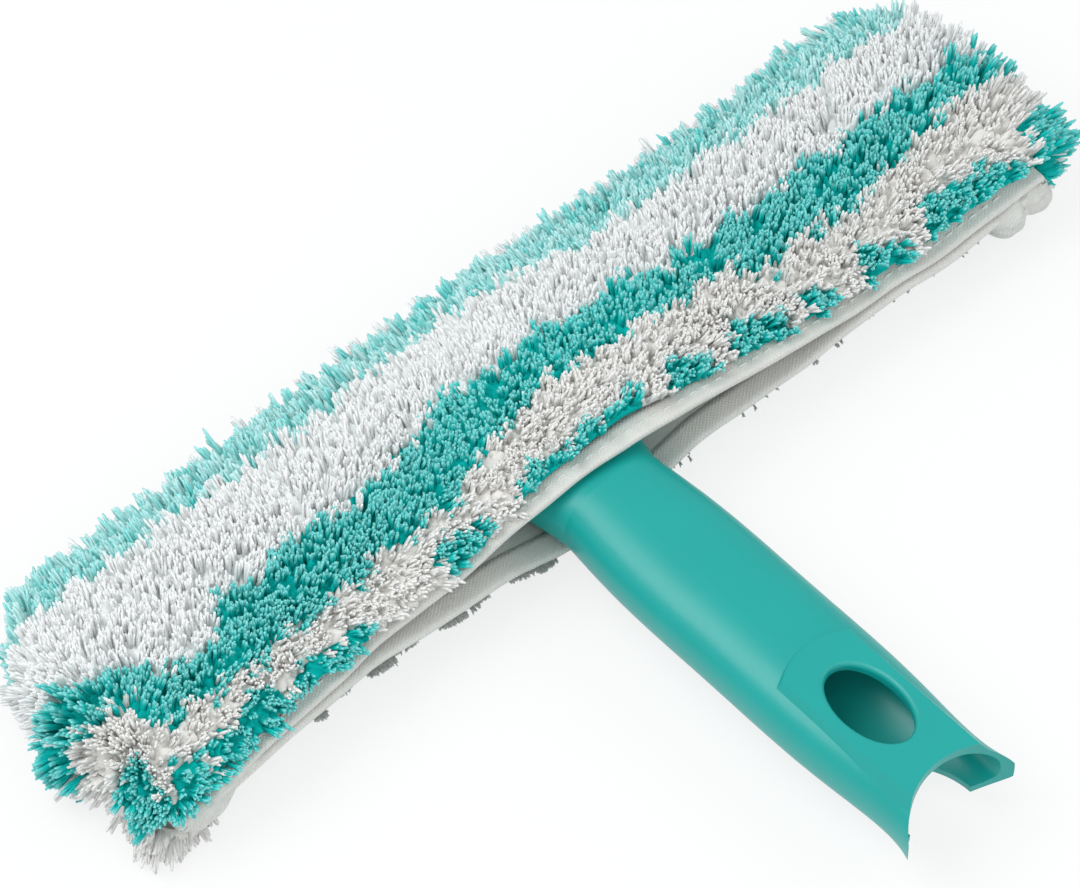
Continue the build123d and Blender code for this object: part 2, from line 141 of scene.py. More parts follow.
# Tufts lean by a share of the way to their clump's middle, and swing slowly and at random
LEAN_SHARES, SWIRL, SWIRL_PITCH, CLUMP_SWING, TUFT_SWING = (0.04, 0.2), 2.2, 22.0, 1.1, 0.7
# The pile is combed to the right, to the mouth on the near side and to the far side beyond
COMB, COMBED, COMBED_NEAR, COMBED_ACROSS = 1.3, (0.3, 0.5, 0.0), (0.9, -1.2, 0.0), (24, -24)
# Tufts shorter than this stand out past the undercoat by up to this
SHORT_TUFT, SHORT_PROUD = 11, 3.4
# On the far side and at the ends a share of the tufts stands out by these lengths
STANDING_SHARE, STANDING, FAR_OPEN, END_OPEN = 0.16, (1.5, 4.0), (6, 20), (150, 16)
# A strand's places from root to tip and its thickness there, in lengths and radii, and its sides
STRAND_PLACES, STRAND_TAPER, STRAND_SIDES = np.array((0.0, 0.5, 0.86, 1.0)), (1.5, 1.4, 1.25, 0.7), 3
# Where strands start and bend along a tuft, and how far they have opened at the bend
STRAND_START, STRAND_BEND, BEND_OPEN = 0.45, 0.82, 0.6
# How far they stray at the start, the bend and the end, and how uneven their lengths are
LOOSE_START, LOOSE_BEND, LOOSE_END, UNEVEN_END = 0.9, 0.4, 0.5, 0.7
# A yarn piece keeps under the 200,000 triangles that the export takes
MOST_TRIANGLES = 185000
# The frayed backing under the lower lip: its ends and count on either side, and its tatters
FRAYED_LEFT, FRAYED_RIGHT = (-104, -12, 1100), (24, 160, 70)
TATTERS = ((1.0, 1.9, 0.0), (1.0, 4.3, 1.0))
# Where the stripes meet on the upper side: places along the cover, and distances across it there
NEAR_TEAL = (
    (-166, -156, -153, -150, -148, -140, -138, -136, -114, -110, -84, -80, -56, -53, -40, -37, -28, -24,
     18, 22, 28, 31, 43, 46, 51, 55, 70, 73, 76, 79, 88, 91, 99, 103, 112, 115, 121, 125, 147, 152, 166, 171,
     179),
    (-30, -31, -44, -44, -37, -38, -44, -39, -38, -42, -41, -47, -47, -38, -39, -47, -47, -41, -42, -47, -47,
     -37, -39, -47, -46, -36, -40, -47, -47, -38, -41, -47, -47, -37, -40, -47, -47, -36, -38, -42, -43, -35,
     -31),
)
MAIN_TEAL = (
    (-166, -152, -138, -40, -24, 0, 30, 66, 76, 120, 134, 179),
    (-16, -19, -31, -31, -25, -18, -21, -20, -27, -28, -23, -21),
)
MAIN_WHITE = (
    (-166, -150, -132, -116, -108, -60, -24, 36, 56, 179),
    (-3, -10, -20, -21, -12, -11, -4, -5, -10, -9),
)
FAR_TEAL = (-166, -60, -15, 20, 44, 179), (18, 18, 19.5, 19, 14, 13)
# On the lower side the near teal ends at the lip, and left of a place there is none
LOWER_TEAL_EDGE, LOWER_END_EDGE, LOWER_END = PILE_NEAR + 3, PILE_NEAR - 4, -138
# The stripes' edges wander, and tufts stray over them, in the undercoat less
EDGE_WAVES, STRAY, COAT_STRAY = ((0.9, 2.7, 1.0), (0.8, 4.9, 2.0)), 1.2, 0.3
# The fold's white shows only at the very far side, near the middle height
FOLD_EDGE_Y, FOLD_SLOPE = 16.2, 2.75

# The stage in metres and watts. A lamp has a name, place, size and power, and looks at the lit place.
LAMPS = (
    ("key_light", (-0.55, 0.35, 1.15), 0.9, 8.8),
    ("fill_light", (0.9, -0.9, 0.9), 1.0, 3.5),
    ("front_light", (-0.45, -0.75, 1.1), 1.2, 4.0),
)
LIT_PLACE, WORLD_STRENGTH, FLOOR_REACH, FLOOR_GLOW = (0, -0.05, 0), 0.64, 4.0, 0.78
# The photo's camera: azimuth and elevation in degrees, what it turns round, its distance and its offsets to
# the right and down, and its lens and sensor in millimetres
VIEW_ANGLES, VIEW_PIVOT, VIEW_OFFSETS = (-42.3, 53.6), (0, -0.006, 0.021), (1.648, 0.0104, 0.0106)
VIEW_LENS, VIEW_SENSOR = 200, 36


def linear(code):
    """A colour from its sRGB hex code, as the linear values that Blender's shaders read."""
    parts = [int(code[i:i + 2], 16) / 255 for i in (0, 2, 4)]
    return tuple(p / 12.92 if p <= 0.04045 else ((p + 0.055) / 1.055) ** 2.4 for p in parts)


def opaque(colour):
    return (*colour, 1.0)


def length_value(name, description, millimetres):
    return FloatProperty(name=name, description=description, default=millimetres * MM, unit="LENGTH")


def colour_value(name, description, code):
    return FloatVectorProperty(name=name, description=description, subtype="COLOR", default=linear(code))


class ScrubberSizes(bpy.types.PropertyGroup):
    """Sizes of the yarn and the sewing."""
    tuft_pitch: length_value("Tuft pitch", "Distance between tufts at the pile's surface", 1.95)
    strands: IntProperty(name="Strands", description="Strands that each tuft opens into", default=5)
    strand_radius: length_value("Strand radius", "Radius of a strand at its root", 0.44)
    tuft_spread: length_value("Tuft spread", "How far a tuft's strands open at their tips", 1.2)
    clump_pitch: length_value("Clump pitch", "Distance between the clumps that tufts lean into", 7.5)
    stitch_pitch: length_value("Stitch pitch", "Distance between stitches along the hem", 4.6)
    stitch_length: length_value("Stitch length", "Length of one stitch", 3.0)
    thread_radius: length_value("Thread radius", "Radius of the sewing thread", 0.32)


class ScrubberColours(bpy.types.PropertyGroup):
    """Colours of the plastic, the yarn and the cloth."""
    handle: colour_value("Handle", "Moulded plastic of the handle", "109f98")
    # The roots' colours are painted shade deep in the pile, and the tips' colours are painted highlight
    teal_root: colour_value("Teal yarn root", "Teal yarn deep in the pile", "02aea8")
    teal_body: colour_value("Teal yarn body", "Teal yarn along its length", "12c1bc")
    teal_tip: colour_value("Teal yarn tip", "Brushed ends of the teal yarn", "8be5e2")
    white_root: colour_value("White yarn root", "White yarn deep in the pile", "eef3f2")
    white_body: colour_value("White yarn body", "White yarn along its length", "f8faf9")
    white_tip: colour_value("White yarn tip", "Brushed ends of the white yarn", "fdfefe")
    cloth: colour_value("Cloth", "Woven ground cloth", "dfdfd9")
    tape: colour_value("Hem tape", "Twill tape of the hems", "e6e5df")


def sizes():
    return bpy.context.scene.scrubber_sizes


def colours():
    return bpy.context.scene.scrubber_colours


# Materials

def add(tree, kind, inputs=None, **settings):
    """Adds one shader node. A node or socket given as an input is linked, and anything else is set."""
    node = tree.nodes.new("ShaderNode" + kind)
    for name, value in settings.items():
        setattr(node, name, value)
    for name, value in (inputs or {}).items():
        if isinstance(value, bpy.types.Node):
            value = next(socket for socket in value.outputs if socket.enabled)
        if isinstance(value, bpy.types.NodeSocket):
            tree.links.new(value, node.inputs[name])
        else:
            node.inputs[name].default_value = value
    return node


def new_material(name):
    """A material with an empty node tree, and the tree."""
    material = bpy.data.materials.new(name)
    material.use_nodes = True
    tree = material.node_tree
    tree.nodes.clear()
    return material, tree


def scaled(colour, factor):
    return opaque(tuple(min(1.0, part * factor) for part in colour))


def own_place(tree):
    """The object's own coordinates."""
    return add(tree, "TexCoord").outputs["Object"]


def noisy(tree, reach, detail, **more):
    """Noise with patches as wide as the reach, in millimetres."""
    place = own_place(tree)
    return add(tree, "TexNoise", {"Vector": place, "Scale": 1 / (reach * MM), "Detail": detail, **more})


def mixed(tree, share, first, second):
    """The colour between two colours, which are a Mix node's inputs 6 and 7."""
    return add(tree, "Mix", {0: share, 6: first, 7: second}, data_type="RGBA")


def surfaced(material, tree, inputs):
    """The material with a principled surface."""
    add(tree, "OutputMaterial", {"Surface": add(tree, "BsdfPrincipled", inputs)})
    return material


def moulded_polypropylene(name, colour, roughness):
    """Moulded polypropylene: a waxy, soft gloss with faint flow marks and a fine mould grain."""
    material, tree = new_material(name)
    # Flow marks 30 mm long, so faint that they only break up the flat colour
    flow = noisy(tree, 30, 3.0)
    tone = mixed(tree, flow, scaled(colour, 0.93), scaled(colour, 1.06))
    # Mould grain of 0.4 mm, drawn four times as coarse so that it shows
    grain = noisy(tree, 1.6, 2.0)
    rough = add(tree, "MapRange", {"Value": grain, "To Min": roughness - 0.03, "To Max": roughness + 0.05})
    bump = add(tree, "Bump", {"Height": grain, "Strength": 0.05, "Distance": 0.05 * MM})
    return surfaced(material, tree, {"Base Color": tone, "Roughness": rough, "Normal": bump, "IOR": 1.49})


def rolled_aluminium():
    """Flat aluminium bar as rolled: grey metal with fine lines along its length."""
    material, tree = new_material("rolled_aluminium")
    # Rolling lines 0.3 mm apart and 60 mm long
    line = 1 / (0.3 * MM)
    stretched = add(tree, "Mapping", {"Vector": own_place(tree), "Scale": (1 / (60 * MM), line, line)})
    lines = add(tree, "TexNoise", {"Vector": stretched, "Scale": 1.0, "Detail": 2.0})
    tone = mixed(tree, lines, opaque(linear("b4b8ba")), opaque(linear("d6d9da")))
    rough = add(tree, "MapRange", {"Value": lines, "To Min": 0.32, "To Max": 0.48})
    return surfaced(material, tree, {"Base Color": tone, "Roughness": rough, "Metallic": 1.0})


def turned_stainless_steel():
    """Turned stainless screws: bright metal with faint rings."""
    material, tree = new_material("turned_stainless_steel")
    # Turning marks 0.5 mm apart
    marks = noisy(tree, 0.5, 1.0)
    tone = mixed(tree, marks, opaque(linear("a9adb0")), opaque(linear("cdd0d2")))
    return surfaced(material, tree, {"Base Color": tone, "Roughness": 0.3, "Metallic": 1.0})


def woven_cloth(name, colour, thread, depth, slant):
    """Woven polyester: matte, with threads that cross. A slant turns the plain weave into a twill's ribs."""
    material, tree = new_material(name)
    slanted = add(tree, "Mapping", {"Vector": own_place(tree), "Rotation": (0.0, 0.0, slant)})
    # The wave texture has one band in each 1 / (pi * scale), near enough, so the scale comes from the thread
    wave = {"Vector": slanted, "Scale": 1 / (thread * math.pi), "Distortion": 0.6, "Detail Scale": 2.0}
    warp = add(tree, "TexWave", wave, bands_direction="X").outputs["Fac"]
    weft = add(tree, "TexWave", wave, bands_direction="Y").outputs["Fac"]
    weave = add(tree, "Math", {0: warp, 1: weft}, operation="MULTIPLY")
    # Uneven dye, pressing and pilled fibres, in patches from 12 mm down to 1 mm across
    patch = noisy(tree, 5, 5.0, Roughness=0.7)
    share = add(tree, "MapRange", {"Value": patch, "From Min": 0.35, "From Max": 0.65})
    ground = mixed(tree, share, scaled(colour, 0.80), scaled(colour, 1.05))
    tone = mixed(tree, weave, scaled(colour, 0.82), ground)
    bump = add(tree, "Bump", {"Height": weave, "Strength": 0.65, "Distance": depth})
    return surfaced(material, tree, {
        "Base Color": tone, "Roughness": 0.85, "Normal": bump, "Sheen Weight": 0.15})


def brushed_yarn(name, root, body, tip, evenness):
    """Brushed polyester yarn: matte strands that let light through, painted darker at the roots as shade deep
    in the pile and paler at the ends as painted highlight.
    """
    material, tree = new_material(name)
    yarn = add(tree, "SeparateXYZ", {"Vector": add(tree, "UVMap", uv_map=YARN_MAP)})
    along, shade = yarn.outputs["Y"], yarn.outputs["X"]
    # Along a strand the colour runs from the root's painted shade through the body to the tip's painted
    # highlight
    soft = {"interpolation_type": "SMOOTHSTEP"}
    low = add(tree, "MapRange", {"Value": along, "From Min": 0.35, "From Max": 0.85}, **soft)
    high = add(tree, "MapRange", {"Value": along, "From Min": 0.82, "From Max": 1.02}, **soft)
    lower = mixed(tree, low, opaque(root), opaque(body))
    strand = mixed(tree, high, lower, opaque(tip))
    # Dye differs a little from tuft to tuft, and the far rows are painted paler, as painted backlight
    dye = add(tree, "MapRange", {"Value": shade, "From Max": 0.5, "To Min": evenness, "To Max": 1.0})
    dyed = add(tree, "VectorMath", {0: strand, "Scale": dye}, operation="SCALE")
    painted_backlight = add(tree, "MapRange", {"Value": shade, "From Min": 0.5, "From Max": 0.85, "To Max": 0.8})
    pale = opaque(tuple(0.45 * part + 0.55 for part in tip))
    tone = mixed(tree, painted_backlight, dyed, pale)
    # Fine fuzz of 1 mm that breaks up the surface between the strands
    fuzz = noisy(tree, 1.0, 2.0)
    bump = add(tree, "Bump", {"Height": fuzz, "Strength": 0.45, "Distance": 0.5 * MM})
    return surfaced(material, tree, {
        "Base Color": tone, "Roughness": 0.9, "Specular IOR Level": 0.08, "Normal": bump,
        "Subsurface Weight": 0.35, "Subsurface Scale": 1.2 * MM, "Subsurface Radius": (1.0, 1.0, 1.0),
        "Sheen Weight": 0.5, "Sheen Roughness": 0.6, "Sheen Tint": opaque(body)})


# Shapes

def placed(name, data):
    """A new object in the scene."""
    thing = bpy.data.objects.new(name, data)
    bpy.context.scene.collection.objects.link(thing)
    return thing


def mesh_piece(name, points, faces, material, smooth=True, yarn_map=None):
    """A mesh from points in millimetres. faces is a list of arrays, each with faces of one size."""
    mesh = bpy.data.meshes.new(name)
    points = np.asarray(points, np.float32) * MM
    loops = np.concatenate([np.asarray(f, np.int32).ravel() for f in faces])
    counts = np.concatenate([np.full(len(f), np.asarray(f).shape[1], np.int32) for f in faces])
    starts = np.cumsum(counts, dtype=np.int32) - counts
    mesh.vertices.add(len(points))
    mesh.vertices.foreach_set("co", points.ravel())
    mesh.loops.add(len(loops))
    mesh.loops.foreach_set("vertex_index", loops)
    mesh.polygons.add(len(counts))
    mesh.polygons.foreach_set("loop_start", starts)
    mesh.polygons.foreach_set("use_smooth", np.full(len(counts), smooth))
    if yarn_map is not None:
        layer = mesh.uv_layers.new(name=YARN_MAP)
        layer.uv.foreach_set("vector", np.asarray(yarn_map, np.float32)[loops].ravel())
    mesh.update(calc_edges=True)
    mesh.validate()
    mesh.materials.append(material)
    piece = placed(name, mesh)
    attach(piece, "cover")
    return piece


def crossed(rows, columns):
    """Every row with every column, as two flat arrays."""
    return (grid.ravel() for grid in np.meshgrid(rows, columns, indexing="ij"))


def turned(faces, flip):
    """The faces, turned inside out where flip is set."""
    return faces[:, ::-1] if flip else faces


def grid_faces(rows, columns, closed_rows=False, closed_columns=False, first=0, flip=False):
    """Quads between neighbouring points of a grid that is stored row by row."""
    r, c = crossed(np.arange(rows - 1 + closed_rows), np.arange(columns - 1 + closed_columns))
    nr, nc = (r + 1) % rows, (c + 1) % columns
    quads = np.stack([r * columns + c, r * columns + nc, nr * columns + nc, nr * columns + c], 1) + first
    return turned(quads, flip)


def repeated(faces, offsets):
    """The same faces for each of many like shapes, whose points start at the offsets."""
    return (faces[None] + offsets[:, None, None]).reshape(-1, faces.shape[1])


def tube_faces(rings, sides, flip=False):
    """The sides of a tube, and its two ends."""
    ring = np.arange(sides)
    caps = np.array([ring[::-1], ring + (rings - 1) * sides])
    return [grid_faces(rings, sides, closed_columns=True, flip=flip), turned(caps, flip)]


def smooth(share):
    """Eases a share from 0 to 1."""
    share = np.clip(share, 0, 1)
    return share * share * (3 - 2 * share)


def fade(value, start, length):
    """Grows from 0 at a start to 1 a length further on."""
    return smooth((value - start) / length)


def eased(x, places, values):
    """Values between given places, with a soft turn at each place."""
    places, values = np.asarray(places, float), np.asarray(values, float)
    low = np.clip(np.searchsorted(places, x) - 1, 0, len(places) - 2)
    share = smooth((x - places[low]) / (places[low + 1] - places[low]))
    return values[low] + (values[low + 1] - values[low]) * share


def lift(x, y, side):
    """How far the cloth is raised over the handle's head, or lowered under it."""
    above = np.asarray(side) > 0
    apex = np.where(above, LIFT_APEX, 0.0)
    span = np.where(above, np.where(x < apex, LIFT_LEFT, LIFT_RIGHT), LIFT_LOW)
    bump = np.cos(np.clip(np.abs(x - apex) / span, 0, 1) * np.pi / 2) ** 2
    return bump * np.interp(y, LIFT_PLACES, LIFT_HEIGHTS)


def lip_sink(x, y):
    """How far a lip of the mouth has sunk towards the other."""
    return LIP_SINK * fade(np.abs(x - LIFT_APEX), *SINK_ALONG) * fade(y, *SINK_ACROSS)


def settle(points, side):
    """Draws a lip of the mouth back as the cloth lies over the handle, and lets its left end droop."""
    points = np.array(points, float)
    x, y = points[..., 0].copy(), points[..., 1].copy()
    back = np.where(np.asarray(side) > 0, eased(x, HEM_PLACES, UPPER_BACK), eased(x, HEM_PLACES, LOWER_BACK))
    points[..., 1] += back * fade(y, *BACK_ACROSS)
    points[..., 2] -= DROOP * fade(x, *DROOP_ALONG) * fade(y, *DROOP_ACROSS)
    return points


def waves(x, parts):
    """A sum of waves, each given by its height, length and phase."""
    return sum(height * np.sin(x / reach + phase) for height, reach, phase in parts)


def waved(x, y, z, side, rise=1.0):
    """Adds the hem's waves to the heights near the mouth, and half of them to the distances across."""
    close = np.interp(y, (MOUTH, MOUTH + WAVE_REACH), (1, 0))
    across = 0.5 * waves(x * 1.3 + 40 * side, HEM_WAVES)
    return y + across * close, z + waves(x, HEM_WAVES) * close * rise


def half_outline(height, y, side, count=150):
    """The upper (1) or lower (-1) half of the cloth's outline at one distance, from left to right."""
    out = height - CLOTH_OUTER
    left, right = CLOTH_LEFT - out, CLOTH_RIGHT + out
    corner = min(height, 4.0)
    turn = np.linspace(0, np.pi / 2, 8)[:-1]
    near = corner * (1 - np.cos(turn))
    x = np.concatenate([left + near, np.linspace(left + corner, right - corner, count), (right - near)[::-1]])
    rise = np.concatenate([np.sin(turn), np.ones(count), np.sin(turn)[::-1]])
    z = MID_Z + side * (height * rise + lift(x, y, side) - lip_sink(x, y) * rise)
    y, z = waved(x, np.full_like(x, y), z, side, rise)
    return settle(np.stack([x, y, z], 1), side)


def cloth_layer(height):
    """One face of the folded cloth as rows from the mouth to the fold, where it draws in a little."""
    # The upper half of each row runs from left to right and the lower half back
    rows = [np.concatenate([half_outline(height, y, 1), half_outline(height, y, -1)[-2:0:-1]])
            for y in np.linspace(MOUTH + 0.5, FOLD_CENTRE, 28)]
    base = rows[-1]
    last_turn, drawn_in = 1.35, 0.012
    for turn in np.linspace(0, last_turn, 8)[1:]:
        row = base.copy()
        row[:, 0] = MID_X + (base[:, 0] - MID_X) * (1 - drawn_in * turn ** 2)
        row[:, 1] = FOLD_CENTRE + height * math.sin(turn)
        row[:, 2] = MID_Z + (base[:, 2] - MID_Z) * math.cos(turn)
        rows.append(row)
    return np.array(rows)


def make_base_cloth(material):
    """The ground cloth: one piece, folded at its far side and sewn up at both ends."""
    outer, inner = cloth_layer(CLOTH_OUTER), cloth_layer(CLOTH_INNER)
    rows, columns = outer.shape[:2]
    points = np.concatenate([outer.reshape(-1, 3), inner.reshape(-1, 3)])
    half = rows * columns
    last = (rows - 1) * columns
    upper_count = len(half_outline(CLOTH_OUTER, 0, 1))
    faces = [grid_faces(rows, columns, closed_columns=True),
             grid_faces(rows, columns, closed_columns=True, first=half, flip=True)]
    c = np.arange(columns)
    n = (c + 1) % columns
    faces.append(np.stack([c + half, n + half, n, c], 1))
    # The fold's seam closes the last row, each upper point to the lower one under it
    up = np.arange(1, upper_count - 2)
    low = columns - up
    for first, flip in ((last, False), (last + half, True)):
        quads = np.stack([up, up + 1, low - 1, low], 1) + first
        ends = np.array([[0, 1, columns - 1], [upper_count - 2, upper_count - 1, upper_count]]) + first
        faces += [turned(quads, flip), turned(ends, flip)]
    return mesh_piece("ground_cloth", points, faces, material)


def make_hem_tape(side, name, material):
    """A twill tape folded round one edge of the mouth."""
    out, inn = CLOTH_OUTER + TAPE_PROUD, CLOTH_INNER - TAPE_SUNK
    mid, radius = (out + inn) / 2, (out - inn) / 2
    small = radius - TAPE_THICK
    outside, inside = (TAPE_EDGE, -44.4, -46.3, -48.2), (TAPE_EDGE, -45.0, -48.4)
    path = [(out, y) for y in outside]
    path += [(mid + radius * math.cos(a), TAPE_TURN - radius * math.sin(a))
             for a in np.linspace(0.15, math.pi - 0.15, 7)]
    path += [(inn, y) for y in outside[::-1]]
    path += [(inn + TAPE_THICK, y) for y in inside]
    path += [(mid - small * math.cos(a), TAPE_TURN - small * math.sin(a))
             for a in np.linspace(0.3, math.pi - 0.3, 5)]
    path += [(out - TAPE_THICK, y) for y in inside[::-1]]
    rows = np.array([half_outline(height, y, side) for height, y in path])
    count, columns = rows.shape[:2]
    ring = (np.arange(count) * columns)[::side]
    faces = [grid_faces(count, columns, closed_rows=True, flip=side < 0), np.array([ring]),
             np.array([ring[::-1] + columns - 1])]
    return mesh_piece(name, rows.reshape(-1, 3), faces, material)


def make_stitches(side, name, material):
    """A row of lockstitches that dip into the tape at both ends."""
    pitch, length = sizes().stitch_pitch / MM, sizes().stitch_length / MM
    radius = sizes().thread_radius / MM
    starts = np.arange(CLOTH_LEFT + STITCH_MARGIN, CLOTH_RIGHT - STITCH_MARGIN - length, pitch)
    shares = np.linspace(0, 1, 6)
    x = starts[:, None] + shares * length
    y = np.full_like(x, MOUTH + STITCH_INSET)
    end = (2 * shares - 1) ** 4
    height = CLOTH_OUTER + TAPE_PROUD + lift(x, y, side) - lip_sink(x, y) + radius * 0.5 - STITCH_DIP * end
    y, z = waved(x, y, MID_Z + side * height, side)
    thick = radius * (1 - 0.5 * end)
    sides = 6
    angle = np.arange(sides) * 2 * np.pi / sides
    points = np.zeros((len(starts), len(shares), sides, 3))
    points[..., 0] = x[..., None]
    points[..., 1] = y[..., None] + thick[None, :, None] * np.cos(angle)
    points[..., 2] = z[..., None] + thick[None, :, None] * np.sin(angle)
    offsets = np.arange(len(starts)) * len(shares) * sides
    faces = [repeated(one, offsets) for one in tube_faces(len(shares), sides)]
    return mesh_piece(name, settle(points.reshape(-1, 3), side), faces, material)


def signed(values, power):
    return np.sign(values) * np.abs(values) ** power


def crease(values, place, width):
    """A soft groove, 1 deep at its place."""
    return np.exp(-((values - place) / width) ** 2)


def make_end_tuck(side, name, material):
    """The end of the mouth, where the cloth is folded in three and turned round both lips."""
    middle, half, deep, high, drop = RIGHT_FOLD if side > 0 else LEFT_FOLD
    around = np.linspace(0, 2 * np.pi, 56, endpoint=False)
    cy, cz = signed(np.cos(around), 0.8), signed(np.sin(around), 0.8)
    rows = []
    for share in np.linspace(-1, 1, 44):
        body = max((1 - abs(share) ** 3.2) ** (1 / 2.4) if abs(share) < 1 else 0.0, 0.04)
        # On the right a groove across parts two lobes, and the left patch narrows to where it runs out
        body *= 1 - 0.34 * crease(share, 0.05, 0.15) if side > 0 else 0.86 - 0.24 * share
        # Grooves along it part the folded layers
        groove = 0.12 * crease(cz, 0.30 + 0.25 * share, 0.10) + 0.08 * crease(cz, -0.45, 0.12)
        reach = (1 - groove * (cy < 0.6)) * body
        x = middle + half * share + 0.5 * np.sin(2 * around)
        y = -47.2 + deep * cy * reach + 0.5 * np.sin(4 * share) + 0.35 * np.sin(3 * around + 9 * share)
        z = MID_Z - drop + high * cz * reach + 0.5 * np.sin(5 * share + side)
        rows.append(np.stack([x, y, z], 1))
    rows = settle(rows, -1)
    count, columns = rows.shape[:2]
    ring = np.arange(columns)
    faces = [grid_faces(count, columns, closed_columns=True, flip=True),
             np.array([ring[::-1], ring + (count - 1) * columns])]
    return mesh_piece(name, rows.reshape(-1, 3), faces, material)


def make_closure_tape(node, name, above, material):
    """A strip of hook or loop tape with its field of short hooks."""
    low, high = (np.array(corner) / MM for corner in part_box(node))
    z0 = high[2] - CLOSURE_BASE if above else low[2]
    z1 = high[2] if above else low[2] + CLOSURE_BASE
    corners = np.array([(x, y, z) for z in (z0, z1) for y in (low[1], high[1]) for x in (low[0], high[0])])
    slab = np.array([[0, 2, 3, 1], [4, 5, 7, 6], [0, 1, 5, 4], [2, 6, 7, 3], [0, 4, 6, 2], [1, 3, 7, 5]])
    gy, gx = crossed(np.arange(low[1] + 1.0, high[1] - 0.6, HOOK_PITCHES[1]),
                     np.arange(low[0] + 1.2, high[0] - 0.8, HOOK_PITCHES[0]))
    foot, top = (z0, z0 - HOOK_HEIGHT) if above else (z1, z1 + HOOK_HEIGHT)
    angle = np.arange(4) * np.pi / 2
    rings = [np.stack([gx[:, None] + radius * np.cos(angle) + lean, gy[:, None] + radius * np.sin(angle),
                       np.full((len(gx), 4), z)], -1)
             for z, radius, lean in ((foot, 0.2, 0.0), ((foot + top) / 2, 0.18, 0.15), (top, 0.12, 0.45))]
    hooks = np.stack(rings, 1)
    quads = repeated(np.concatenate(tube_faces(3, 4, above)), len(corners) + np.arange(len(gx)) * 12)
    points = np.concatenate([corners, hooks.reshape(-1, 3)])
    points[:, 2] -= (1 if above else -1) * lip_sink(points[:, 0], points[:, 1])
    points = settle(points, 1 if above else -1)
    return mesh_piece(name, points, [slab, quads], material, smooth=False)


# Pile

def tip_curve():
    """The pile's section from the upper hem over the crown, round the far fold and back under."""
    start = math.acos((CROWN_Y - PILE_NEAR) / NEAR_REACH)
    near = np.linspace(start, np.pi / 2, 160)
    far = np.linspace(np.pi / 2, 0, 160)[1:]
    power = 2 / FAR_FULLNESS
    y = np.concatenate([CROWN_Y - NEAR_REACH * np.cos(near), CROWN_Y + FAR_REACH * np.cos(far) ** power])
    rise = np.concatenate([CROWN_RISE * np.sin(near), CROWN_RISE * np.sin(far) ** power])
    upper = np.stack([y, MID_Z + rise], 1)
    lower = upper[::-1][1:].copy()
    drop = (lower[:, 1] - MID_Z) * CROWN_FALL / CROWN_RISE
    lower[:, 1] = np.maximum(MID_Z - drop, TIP_FLOOR)
    return upper, lower


def root_point(length):
    """The cloth's outer face at a length measured from the upper hem, round the fold."""
    near = PILE_NEAR + ROOT_INSET
    flat = FOLD_CENTRE - near
    bend = np.pi * CLOTH_OUTER
    angle = np.clip((length - flat) / CLOTH_OUTER, 0, np.pi)
    y = np.where(length < flat, near + length, FOLD_CENTRE + CLOTH_OUTER * np.sin(angle))
    y = np.where(length > flat + bend, FOLD_CENTRE - (length - flat - bend), y)
    return y, MID_Z + CLOTH_OUTER * np.cos(angle)


def lumps(points, pitch, seed):
    """A soft random height from -1 to 1 at each point, with hills about one pitch across."""
    return np.array([noise.noise((x / pitch, y / pitch, z / pitch + seed)) for x, y, z in points])


class Section:
    """The tips' curve by its length, and how lengths along it pair with lengths along the cloth."""

    def __init__(self):
        upper, lower = tip_curve()
        self.curve = np.concatenate([upper, lower])
        self.arc = np.concatenate([[0], np.cumsum(np.hypot(*np.diff(self.curve, axis=0).T))])
        self.whole = self.arc[-1]
        self.upper = self.arc[len(upper) - 1]
        self.cloth = 2 * (FOLD_CENTRE - PILE_NEAR - ROOT_INSET) + np.pi * CLOTH_OUTER
        tips = [self.arc[np.argmin(np.abs(upper[:, 0] - y))] for y in TIP_PLACES]
        self.tip_lengths = np.array([0.0, *tips, self.upper])
        self.root_lengths = np.array([0.0, *ROOT_LENGTHS, self.cloth / 2])

    def root_and_tip(self, s, x, turn, side):
        """The root and the tip at a length along the curve. At an end the section turns round the cloth."""
        ty, tz = (np.interp(s, self.arc, self.curve[:, k]) for k in (0, 1))
        above = s <= self.upper
        mirrored = np.where(above, s, self.upper * (self.whole - s) / (self.whole - self.upper))
        length = np.interp(mirrored, self.tip_lengths, self.root_lengths)
        ry, rz = root_point(np.where(above, length, self.cloth - length))
        core, root_core = np.clip(ty, *CORE), np.clip(ry, *CORE)
        fall, reach = np.cos(turn) ** END_FULLNESS, np.sin(turn) ** END_FULLNESS
        tip = np.stack([x + side * END_REACH * reach, core + (ty - core) * fall,
                        MID_Z + (tz - MID_Z) * fall], 1)
        root = np.stack([x + side * ROOT_REACH * reach, root_core + (ry - root_core) * fall,
                         MID_Z + (rz - MID_Z) * np.cos(turn)], 1)
        up = np.where(above, 1.0, -1.0)
        root[:, 2] += up * lift(root[:, 0], root[:, 1], up)
        # Over the handle the pile rides on the lifted cloth
        raised = lift(tip[:, 0], np.maximum(tip[:, 1], MOUTH), up)
        cover = MID_Z + up * (CLOTH_OUTER + raised + LIFTED_PILE)
        over_handle = lift(tip[:, 0], MOUTH, up) / LIFT_HEIGHTS[0] * (ty < LIFTED_TO)
        tip[:, 2] += up * np.maximum(0, up * (cover - tip[:, 2])) * over_handle * LIFTED_SHARE
        tip[:, 1] -= np.interp(tip[:, 0], SAG_PLACES, SAG) * fade(ty, *SAG_ACROSS)
        tip[:, 0] -= fade(tip[:, 0], *RIGHT_ALONG) * np.interp(ty, ROUND_PLACES, RIGHT_ROUND)
        tip[:, 0] += fade(tip[:, 0], *LEFT_ALONG) * np.interp(ty, ROUND_PLACES, LEFT_ROUND)
        back = np.where(up > 0, eased(tip[:, 0], *PILE_BACK), eased(tip[:, 0], *LOWER_PILE_BACK))
        tip[:, 1] += back * fade(tip[:, 1], *PILE_BACK_ACROSS)
        root[:, 1] += np.maximum(back, 0) * fade(root[:, 1], *PILE_BACK_ACROSS)
        return settle(root, up), settle(tip, up), ty, tz, up


